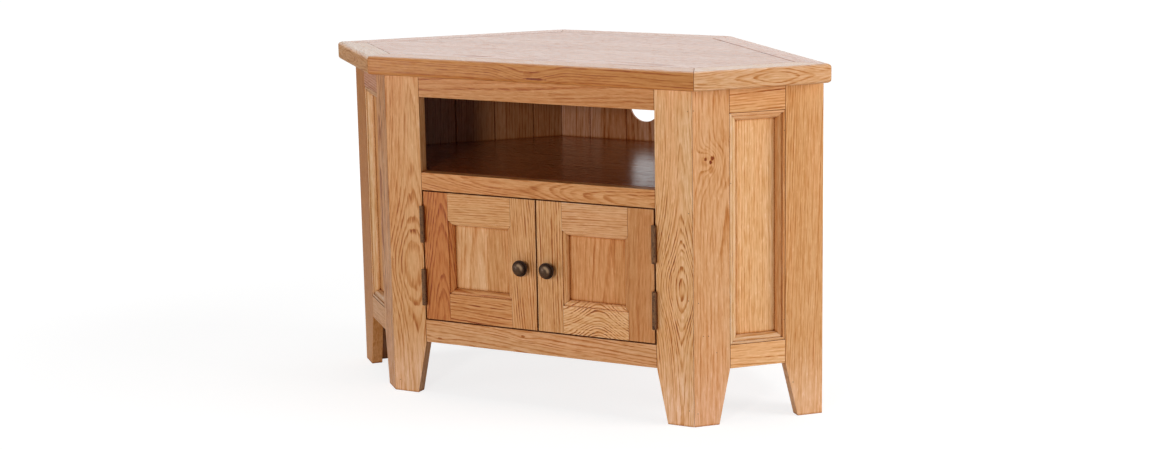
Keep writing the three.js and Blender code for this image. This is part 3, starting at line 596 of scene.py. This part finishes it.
def door_looks(side):
    """Pointed arches on the left hinge stile, arcs on the right bottom rail, and nearly straight
    grain elsewhere."""
    right = side == "right"
    sign = SIDES[side]
    return {
        f"{side}_door_bottom_rail": dict(
            grain=X, across=Z, centre=place(116, -8, 118) if right else place(-110, 24, 96),
            bulge=0.05 if right else 0.0, reach=0.05, taper=0.0 if right else 0.05,
            spacing=0.005, contrast=1.7 if right else 1.35, warp=0.012),
        f"{side}_door_top_rail": dict(
            grain=X, across=Z, centre=place(sign * 112, 40, 480), taper=0.03, contrast=0.9),
        f"{side}_door_hinge_stile": dict(
            grain=Z, across=X, centre=place(152, 50, 240) if right else place(-186, -16, 215),
            taper=0.03 if right else 0.13, spacing=0.0042 if right else 0.005, warp=0.009,
            lean=3.0 if right else 0.0, contrast=0.5 if right else 1.2),
        f"{side}_door_knob_stile": dict(
            grain=Z, across=X, centre=place(sign * 150, 60, 240), lean=-2.0, warp=0.007,
            contrast=1.3),
        f"{side}_door_panel": dict(
            grain=Z, across=X, centre=place(142 if right else -102, 80, 240), taper=0.03,
            stave_pitch=0.1, stave_tone=0.3 if right else -0.3, contrast=0.65, tone=0.22),
    }


def dress_boards():
    """Gives every oak node its own boards' grain, figure and colour."""
    looks = {**front_looks(), **inner_looks(), **top_looks()}
    for side in SIDES:
        looks.update(side_looks(side))
        looks.update(door_looks(side))
    for number, (node, look) in enumerate(looks.items()):
        assign(node, oak(node, tint=board_tint(node), seed=number * 1.37, **look))


def metal(name, base, worn, rough, metallic=1.0):
    """Antiqued metal: a dark coat rubbed through to bare metal in patches, with fine pitting."""
    material, tree = bare_material(name)
    coords = object_place(tree)
    patch = ramp(tree, noise(tree, coords, (420, 420, 420), 3.0, 0.6), 0.3, 0.75)
    pit = noise(tree, coords, (1400, 1400, 1400))
    polish = maths(tree, "MULTIPLY_ADD", patch, -0.1, rough - 0.1)
    bare = maths(tree, "MULTIPLY_ADD", patch, metallic * 0.8, metallic * 0.2) if metallic else 0.0
    bump = add_node(tree, "ShaderNodeBump", {"Height": pit, "Strength": 0.3, "Distance": 0.0001})
    show(tree, add_node(tree, "ShaderNodeBsdfPrincipled", {
        "Base Color": mix_colour(tree, patch, base, worn),
        "Roughness": maths(tree, "MULTIPLY_ADD", pit, 0.3, polish),
        "Normal": bump.outputs[0],
        "Metallic": bare,
        "Specular IOR Level": 0.3,
    }))
    return material


def knob_bronze():
    """Bronze that hands have rubbed to a speckled, paler dome, with a painted highlight in a pale
    arc on its upper right, inside a dark rim."""
    material = metal("rubbed_bronze_painted_arc", srgb(34, 20, 13), srgb(76, 49, 32), 0.34, metallic=0.5)
    tree = material.node_tree
    shader = next(node for node in tree.nodes if node.type == "BSDF_PRINCIPLED")
    dome_start, dome_full = 15.2, 16.5  # millimetres in front of the doors
    dome_radius, rim_radius, arc_radius = 0.0096, 0.0118, 0.0072

    # Across and up from the middle of the nearer knob
    low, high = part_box("right_door_knob")
    coords = object_place(tree)
    x, y, z = parts(tree, coords)
    middle = maths(tree, "MULTIPLY", maths(tree, "SIGN", x), (low.x + high.x) / 2)
    across = maths(tree, "SUBTRACT", x, middle)
    upward = maths(tree, "SUBTRACT", z, (low.z + high.z) / 2)
    flat = joined(tree, across, upward)
    from_middle = vector_maths(tree, "LENGTH", flat)
    forward = ramp(tree, y, (FRONT_Y - dome_full) * MM, (FRONT_Y - dome_start) * MM, 1.0, 0.0)

    speckle = noise(tree, coords, (800, 800, 800), 3.0)
    ragged = maths(tree, "MULTIPLY_ADD", speckle, 0.0024, from_middle)
    handled = maths(tree, "MULTIPLY", ramp(tree, ragged, dome_radius, rim_radius, 1.0, 0.0), forward)
    handled = maths(tree, "MULTIPLY", handled, ramp(tree, speckle, 0.38, 0.62, 0.05, 0.62))
    base = shader.inputs["Base Color"].links[0].from_socket
    base = mix_colour(tree, handled, base, srgb(108, 80, 54))

    # A painted highlight: a pale arc on the dome's upper right, which the rubbed mask below carries
    slant = vector_maths(tree, "DOT_PRODUCT", flat, (DIAGONAL, DIAGONAL, 0.0))
    slant = maths(tree, "DIVIDE", slant, maths(tree, "MAXIMUM", from_middle, 0.001))
    to_arc = maths(tree, "ABSOLUTE", maths(tree, "SUBTRACT", from_middle, arc_radius))
    rubbed = ramp(tree, to_arc, 0.0004, 0.003, 0.55, 0.0)
    rubbed = maths(tree, "MULTIPLY", rubbed, ramp(tree, slant, 0.3, 0.95))
    base = mix_colour(tree, maths(tree, "MULTIPLY", rubbed, forward), base, srgb(198, 164, 128))

    edge = ramp(tree, from_middle, dome_radius + 0.0002, rim_radius, 0.0, 0.8)
    edge = maths(tree, "MULTIPLY", edge, forward)
    feed(tree, shader.inputs["Base Color"], mix_colour(tree, edge, base, srgb(30, 18, 12)))
    return material


def dress_metal():
    """Gives the fittings their metal and adds the pieces that are made of it."""
    bronze = metal("antique_bronze", srgb(62, 37, 21), srgb(160, 116, 80), 0.26, metallic=0.6)
    zinc = metal("zinc_plate", srgb(150, 150, 148), srgb(196, 196, 192), 0.36)
    plastic = metal("catch_plastic", srgb(58, 42, 34), srgb(70, 54, 44), 0.55, metallic=0.0)
    for node in frame["nodes"]:
        if "hinge_p" in node or "hinge_door_leaf" in node or node.endswith("knob"):
            assign(node, bronze)
    for side in SIDES:
        assign(f"{side}_strike_plate", zinc)
    assign("magnetic_catch", plastic)
    add_knobs(knob_bronze())
    add_screws(bronze)
    add_brads(bronze)
    add_catch_plates(zinc)


# Geometry: softened CAD boards and the pieces beyond the CAD's solids


def soften(item, width):
    """Rounds an item's arrises by the width, once its split vertices are joined and its flat faces
    are whole."""
    item.modifiers.new("weld", "WELD").merge_threshold = 1e-6
    flat = item.modifiers.new("flat", "DECIMATE")
    flat.decimate_type, flat.angle_limit = "DISSOLVE", math.radians(0.5)
    bevel = item.modifiers.new("bevel", "BEVEL")
    bevel.width, bevel.segments = width, 2
    bevel.limit_method, bevel.angle_limit = "ANGLE", math.radians(28)
    bevel.harden_normals = True


def add_piece(name, mesh, material, body="carcass"):
    """An object from a bmesh in the cabinet's frame, riding on its body."""
    data = bpy.data.meshes.new(name)
    mesh.to_mesh(data)
    mesh.free()
    data.materials.append(material)
    item = bpy.data.objects.new(name, data)
    bpy.context.scene.collection.objects.link(item)
    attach(item, body)
    return item


def soften_boards():
    """Rounds the CAD's arrises: most on the top, least on the hinges."""
    for node, item in frame["nodes"].items():
        if node.startswith("top_"):
            soften(item, 0.0009)
        elif "hinge_p" in node or "leaf" in node:
            soften(item, 0.00022)
        elif "_door_" in node and not node.endswith(("panel", "knob")):
            soften(item, 0.0008)
        elif node.endswith("panel"):
            soften(item, 0.0005)
        elif "knob" not in node:
            soften(item, 0.0007)


def reaches(points, way):
    """The least and the most that points reach along a direction, in millimetres."""
    lengths = [point.dot(way) / MM for point in points]
    return min(lengths), max(lengths)


def stick_mesh(corner, run, inward, outward, length, profile):
    """A moulded stick between two mitred corners. The profile's pairs go inward and outward."""
    mesh = bmesh.new()
    ends = []
    for start, way in ((corner, 1), (corner + run * length * MM, -1)):
        ends.append([
            mesh.verts.new(start + (run * way * width + inward * width + outward * height) * MM)
            for width, height in profile])
    for i in range(len(profile)):
        j = (i + 1) % len(profile)
        mesh.faces.new((ends[0][i], ends[0][j], ends[1][j], ends[1][i]))
    for end in ends:
        mesh.faces.new(end)
    bmesh.ops.recalc_face_normals(mesh, faces=mesh.faces)
    return smooth(mesh, 24)


def add_side_mouldings():
    """Four mitred sticks round each side panel, in place of the CAD's one ring."""
    gap, chamfer, lip, step, width = 0.12, 0.5, 4.6, 2.3, 13.8
    for side in SIDES:
        run, outward = SIDE_RUN[side], -WALL_RUN[side]
        corner = side_place(side, 0, 0)
        ring = frame["nodes"][f"{side}_side_moulding"].data.vertices
        (near, far), (low, high), (back, front) = (
            reaches([vertex.co - corner for vertex in ring], way) for way in (run, Z, outward))
        tall = front - back
        profile = [(gap, 0), (gap, tall - chamfer), (gap + chamfer, tall), (lip - chamfer, tall)]
        profile += [(lip - 0.1, tall - chamfer), (lip, tall - step)]
        profile += curve((lip, tall - step), (11.4, tall - 1.9), (width, 2.4), 8) + [(width, 0)]
        wide, high_up = far - near, high - low
        sticks = {
            "bottom": (near, low, run, Z, wide),
            "top": (near, high, run, -Z, wide),
            "front": (near, low, Z, run, high_up),
            "back": (far, low, Z, -run, high_up),
        }
        for where, (distance, height, along, inward, length) in sticks.items():
            start = side_place(side, distance, height, -back) + along * gap * MM
            mesh = stick_mesh(start, along, inward, outward, length - 2 * gap, profile)
            across = Z if where in ("bottom", "top") else run
            name = f"{side}_side_moulding_{where}"
            tint = board_tint(name)
            centre = side_place(side, 150 if where == "front" else 60, 300, -back)
            material = oak(name, along, across, centre, tint, seed=40 + len(name) * 1.7, contrast=0.6)
            item = add_piece(name, mesh, material)
            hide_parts(f"{side}_side_moulding")


def lathe(profile, turns, lengthwise, origin):
    """A shape turned round an axis from (radius, height) pairs in millimetres. It is closed where
    they end on the axis."""
    mesh = bmesh.new()
    side = lengthwise.orthogonal().normalized()
    up = lengthwise.cross(side)
    angles = [2 * math.pi * i / turns for i in range(turns)]
    spokes = [side * math.cos(angle) + up * math.sin(angle) for angle in angles]
    rings = []
    for radius, height in profile:
        centre = origin + lengthwise * height * MM
        outer = [centre + spoke * radius * MM for spoke in spokes] if radius else [centre]
        rings.append([mesh.verts.new(point) for point in outer])
    for lower, upper in zip(rings, rings[1:]):
        for i in range(turns):
            j = (i + 1) % turns
            if len(lower) == 1:
                mesh.faces.new((lower[0], upper[j], upper[i]))
            elif len(upper) == 1:
                mesh.faces.new((lower[i], lower[j], upper[0]))
            else:
                mesh.faces.new((lower[i], lower[j], upper[j], upper[i]))
    bmesh.ops.recalc_face_normals(mesh, faces=mesh.faces)
    return mesh


def smooth(mesh, angle=32):
    """Smooth faces with the edges that turn by more than the angle left sharp."""
    for face in mesh.faces:
        face.smooth = True
    for edge in mesh.edges:
        if len(edge.link_faces) == 2 and edge.calc_face_angle() > math.radians(angle):
            edge.smooth = False
    return mesh


def curve(start, control, end, steps):
    """Points after the start of a quadratic curve between (radius, height) pairs."""
    made = []
    for i in range(1, steps + 1):
        t = i / steps
        weights = ((1 - t) ** 2, 2 * t * (1 - t), t * t)
        made.append(tuple(
            sum(weight * value for weight, value in zip(weights, values))
            for values in zip(start, control, end)))
    return made


def add_knobs(material):
    """Turned knobs with a base, a neck, a beaded rim and a low dome, in place of the CAD's."""
    rim = 14.2
    profile = [(0, -14), (2, -14), (2, 0.3), (6.8, 0.3), (7.3, 0.6), (7.3, 1.3), (7, 1.6)]
    profile += curve((7, 1.6), (5.2, 1.8), (5.2, 6), 8)
    profile += curve((5.2, 6), (5.4, 10.6), (rim - 0.6, 13), 10)
    profile += curve((rim - 0.6, 13), (rim, 13.1), (rim, 14.2), 4)
    profile += curve((rim, 14.2), (rim, 15.3), (rim - 0.8, 15.4), 4)
    profile += curve((rim - 0.8, 15.4), (rim - 1.4, 15.6), (rim - 1.7, 15.0), 4)
    profile += [(rim - 2.1, 15.0), (rim - 2.2, 15.6)]
    profile += curve((rim - 2.2, 15.6), (rim - 2.6, 20.0), (7.0, 22.6), 10)
    profile += curve((7.0, 22.6), (4.2, 24.2), (0, 24.2), 8)[:-1] + [(0, 24.2)]
    for side in SIDES:
        low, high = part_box(f"{side}_door_knob")
        origin = Vector(((low.x + high.x) / 2, FRONT_Y * MM, (low.z + high.z) / 2))
        mesh = smooth(lathe(profile, 56, -Y, origin))
        item = add_piece(f"{side}_turned_knob", mesh, material, f"{side}_door")
        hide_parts(f"{side}_door_knob")


def screw_mesh(name, head_radius, length, shank_radius):
    """A countersunk screw along +x from its head's face at the origin, with a cross recess."""
    turns = 20
    profile = [(head_radius, 0), (shank_radius, -head_radius + shank_radius)]
    profile += [(shank_radius, -length * 0.8), (0, -length)]
    mesh = lathe(profile, turns, -X, Vector((0, 0, 0)))
    bmesh.ops.reverse_faces(mesh, faces=mesh.faces)
    rim = [edge for edge in mesh.edges if edge.is_boundary]
    arm, wide, deep = (head_radius * share * MM for share in (0.55, 0.14, 0.35))
    outline = [(arm, -wide), (arm, wide), (wide, wide), (wide, arm), (-wide, arm), (-wide, wide),
               (-arm, wide), (-arm, -wide), (-wide, -wide), (-wide, -arm), (wide, -arm), (wide, -wide)]
    top = [mesh.verts.new((0, y, z)) for y, z in outline]
    sunk = [mesh.verts.new((deep, y * 0.7, z * 0.7)) for y, z in outline]
    edges = []
    for i in range(len(outline)):
        j = (i + 1) % len(outline)
        edges.append(mesh.edges.new((top[i], top[j])))
        mesh.faces.new((top[i], top[j], sunk[j], sunk[i]))
    mesh.faces.new(sunk)
    bmesh.ops.triangle_fill(mesh, use_beauty=True, edges=rim + edges, normal=-X)
    bmesh.ops.recalc_face_normals(mesh, faces=mesh.faces)
    smooth(mesh)
    data = bpy.data.meshes.new(name)
    mesh.to_mesh(data)
    mesh.free()
    return data


def add_screws(material):
    """Three countersunk screws through each hinge leaf, into the post or into the door's edge."""
    data = screw_mesh("hinge_screw", head_radius=2.75, length=14, shank_radius=1.5)
    data.materials.append(material)
    apart = 0.23  # each head's face from the middle of the closed hinge
    depth = 9  # behind the posts' front face
    pitch = 22
    number = 0
    for side, sign in SIDES.items():
        for level in ("upper", "lower"):
            for leaf, body, way in (("post", "carcass", sign), ("door", f"{side}_door", -sign)):
                low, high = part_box(f"{level}_{side}_hinge_{leaf}_leaf")
                middle = (low + high) / 2 / MM
                turn = Matrix.Identity(4) if way > 0 else Matrix.Rotation(math.pi, 4, "Z")
                for row, step in (("low", -pitch), ("mid", 0), ("high", pitch)):
                    item = bpy.data.objects.new(f"{level}_{side}_hinge_{leaf}_screw_{row}", data)
                    spot = place(middle.x + way * apart, depth, middle.z + step)
                    spin = Matrix.Rotation(0.7 * number, 4, "X")
                    item.matrix_world = Matrix.Translation(spot) @ turn @ spin
                    bpy.context.scene.collection.objects.link(item)
                    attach(item, body)
                    number += 1


def box_mesh(corner, *edges):
    """A box from one corner and its three edges."""
    mesh = bmesh.new()
    verts = {}
    for i in (0, 1):
        for j in (0, 1):
            for k in (0, 1):
                verts[i, j, k] = mesh.verts.new(corner + edges[0] * i + edges[1] * j + edges[2] * k)
    for axis in range(3):
        for end in (0, 1):
            ring = [(0, 0), (1, 0), (1, 1), (0, 1)]
            mesh.faces.new([verts[(*pair[:axis], end, *pair[axis:])] for pair in ring])
    bmesh.ops.recalc_face_normals(mesh, faces=mesh.faces)
    return mesh


def add_battens():
    """Square battens under the top, along the front, the back, the sides and the walls."""
    size, under, gap = 19.6, 548.0, 0.2
    front_half, front_y = 212, 19.9
    back_half, back_y = 150, 417.8
    wall_x, wall_y, wall_length = 402.4, 208.9, 272
    side_start, side_depth, side_length = 12, 19.7, 148
    spans = {"front": (place(-front_half, front_y, under), X * 2 * front_half, Y),
             "back": (place(-back_half, back_y, under), X * 2 * back_half, Y)}
    for side, sign in SIDES.items():
        run, wall = SIDE_RUN[side], WALL_RUN[side]
        start = place(sign * wall_x, wall_y, under) - run * gap * MM
        spans[f"{side}_wall"] = (start, wall * wall_length, -run)
        start = side_place(side, side_start, under, side_depth)
        spans[f"{side}_side"] = (start, run * side_length, wall)
    for number, (where, (corner, run, depth)) in enumerate(spans.items()):
        tint = OAK_TONES["tan"]
        material = oak(f"batten_{where}", run.normalized(), Z, corner, tint, seed=60 + number * 2.1)
        mesh = box_mesh(corner, run * MM, depth * size * MM, Z * size * MM)
        soften(add_piece(f"top_batten_{where}", mesh, material), 0.0008)


def add_catch_plates(material):
    """The magnetic catch's two pole plates, just proud of its front."""
    wide, deep, tall = 0.011, 0.004, 0.0064
    apart, proud, raised = 0.0125, 0.0002, 0.0028
    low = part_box("magnetic_catch")[0]
    for side, sign in SIDES.items():
        corner = Vector((sign * apart - wide / 2, low.y - proud, low.z + raised))
        mesh = box_mesh(corner, X * wide, Y * deep, Z * tall)
        soften(add_piece(f"{side}_catch_pole_plate", mesh, material), 0.0003)


def add_brad(name, spot, outward, material):
    """A brad whose head is almost flush with the wood."""
    profile = [(0, -9), (0.5, -7), (0.5, -0.6), (0.75, -0.2), (0.75, 0.03), (0, 0.05)]
    add_piece(name, smooth(lathe(profile, 12, outward, spot)), material)


def add_brads(material):
    """Brads that pin the mouldings and the posts' boards. A mark's third number is 1 on a moulding."""
    lip_depth = 0.7  # a moulding's lip behind the side's face
    rows = {
        "left": [(67.4, 408.7, 1), (162.3, 500, 1), (162.3, 347, 1), (162.3, 189, 1),
                 (9.2, 211.8, 0), (14, 440, 0)],
        "right": [(2.9, 532.6, 0), (9.2, 211.8, 0), (17.5, 155.1, 0), (26.4, 154.2, 0),
                  (41, 124.7, 0), (6.8, 22.8, 0), (178.6, 59.9, 0), (67.4, 408.7, 1),
                  (162.3, 490.1, 1), (162.3, 169.7, 1)],
    }
    for side, marks in rows.items():
        for number, (along, height, on_moulding) in enumerate(marks, 1):
            spot = side_place(side, along, height, on_moulding * lip_depth)
            add_brad(f"{side}_brad_{number}", spot, -WALL_RUN[side], material)
    rows = {"right": [(283.2, 531.2), (283.7, 362.9), (282.5, 216.1), (282.5, 27.7)],
            "left": [(-285.3, 238.9), (-279.9, 19.8)]}
    for side, marks in rows.items():
        for number, (across, height) in enumerate(marks, 1):
            add_brad(f"{side}_post_brad_{number}", place(across, 0, height), -Y, material)


# Studio


def softbox(name, position, width, height, power):
    """A rectangular lamp that faces the cabinet's middle."""
    middle = Vector((0, 0, 0.3))
    lamp = bpy.data.lights.new(name, "AREA")
    lamp.shape, lamp.size, lamp.size_y, lamp.energy = "RECTANGLE", width, height, power
    item = bpy.data.objects.new(name, lamp)
    item.location = position
    item.rotation_mode = "QUATERNION"
    item.rotation_quaternion = (middle - item.location).to_track_quat("-Z", "Y")
    bpy.context.scene.collection.objects.link(item)
    return item


def seen_directly(tree, mirrored):
    """1 for rays that show what lies behind: straight to the camera, passed through, or mirrored
    if that is asked for."""
    path = add_node(tree, "ShaderNodeLightPath").outputs
    shown = maths(tree, "MAXIMUM", path["Is Camera Ray"], path["Is Transmission Ray"])
    return maths(tree, "MAXIMUM", shown, path["Is Glossy Ray"]) if mirrored else shown


def build_world():
    """A weak ambient light, and a white that shows only directly, through glass or mirrored."""
    world = bpy.data.worlds.new("studio")
    bpy.context.scene.world = world
    world.use_nodes = True
    tree = world.node_tree
    tree.nodes.clear()
    ambient = add_node(tree, "ShaderNodeBackground", {"Color": (1, 0.98, 0.96, 1), "Strength": 0.09})
    white = add_node(tree, "ShaderNodeBackground", {"Color": (1, 1, 1, 1), "Strength": 1.0})
    choice = {0: seen_directly(tree, True), 1: ambient.outputs[0], 2: white.outputs[0]}
    show(tree, add_node(tree, "ShaderNodeMixShader", choice), "ShaderNodeOutputWorld")


def build_floor():
    """A pale floor that shows white with a faint contact shadow, and lights the cabinet only as a
    pale floor does."""
    reach = 12.0
    corners = [(-reach, -reach, 0), (reach, -reach, 0), (reach, reach, 0), (-reach, reach, 0)]
    mesh = bpy.data.meshes.new("floor")
    mesh.from_pydata(corners, [], [(0, 1, 2, 3)])
    floor = bpy.data.objects.new("floor", mesh)
    bpy.context.scene.collection.objects.link(floor)
    material, tree = bare_material("pale_floor")
    plain = add_node(tree, "ShaderNodeBsdfDiffuse", {"Color": (0.82, 0.81, 0.8, 1)})
    away = vector_maths(tree, "LENGTH", object_place(tree))
    strength = ramp(tree, away, 0.8, 2.2, 0.8, 1.0)
    glow = add_node(tree, "ShaderNodeEmission", {"Color": (1, 1, 1, 1), "Strength": strength})
    shadow_keeper = add_node(tree, "ShaderNodeBsdfDiffuse", {"Color": (0.35, 0.35, 0.35, 1)})
    white = add_node(tree, "ShaderNodeAddShader", {0: glow.outputs[0], 1: shadow_keeper.outputs[0]})
    choice = {0: seen_directly(tree, False), 1: plain.outputs[0], 2: white.outputs[0]}
    show(tree, add_node(tree, "ShaderNodeMixShader", choice))
    mesh.materials.append(material)


def build_lights():
    """Soft boxes on both sides, in front and above. The right and front ones are kept out of the
    lacquer."""
    right = softbox("right_box", (3.4, 0.4, 1.2), width=1.6, height=1.6, power=72)
    softbox("left_box", (-2.4, -2.6, 0.6), width=1.6, height=1.0, power=23)
    front = softbox("front_box", (0.4, -3.65, 1.0), width=0.5, height=0.5, power=41)
    softbox("overhead", (0.0, 0.3, 3.0), width=2.2, height=2.2, power=33)
    right.visible_glossy = front.visible_glossy = False


def build_camera():
    """The photograph's viewpoint, as solved from the cabinet's corners in it."""
    camera = bpy.data.cameras.new("camera")
    camera.sensor_fit, camera.sensor_width, camera.lens = "HORIZONTAL", 36.0, 66.838
    item = bpy.data.objects.new("camera", camera)
    yaw, pitch, roll = (math.radians(degrees) for degrees in (26.904, -11.655, -1.010))
    ahead = Vector((-math.sin(yaw) * math.cos(pitch), math.cos(yaw) * math.cos(pitch), math.sin(pitch)))
    level = Vector((math.cos(yaw), math.sin(yaw), 0))
    upright = level.cross(ahead)
    right = level * math.cos(roll) + upright * math.sin(roll)
    up = upright * math.cos(roll) - level * math.sin(roll)
    turn = Matrix((right, up, -ahead)).transposed()
    item.matrix_world = Matrix.Translation((1.706307, -3.388122, 1.064502)) @ turn.to_4x4()
    bpy.context.scene.collection.objects.link(item)
    bpy.context.scene.camera = item


bpy.context.scene.view_settings.view_transform = "Standard"
build_camera()
build_world()
build_floor()
build_lights()
dress_boards()
add_side_mouldings()
add_battens()
dress_metal()
soften_boards()
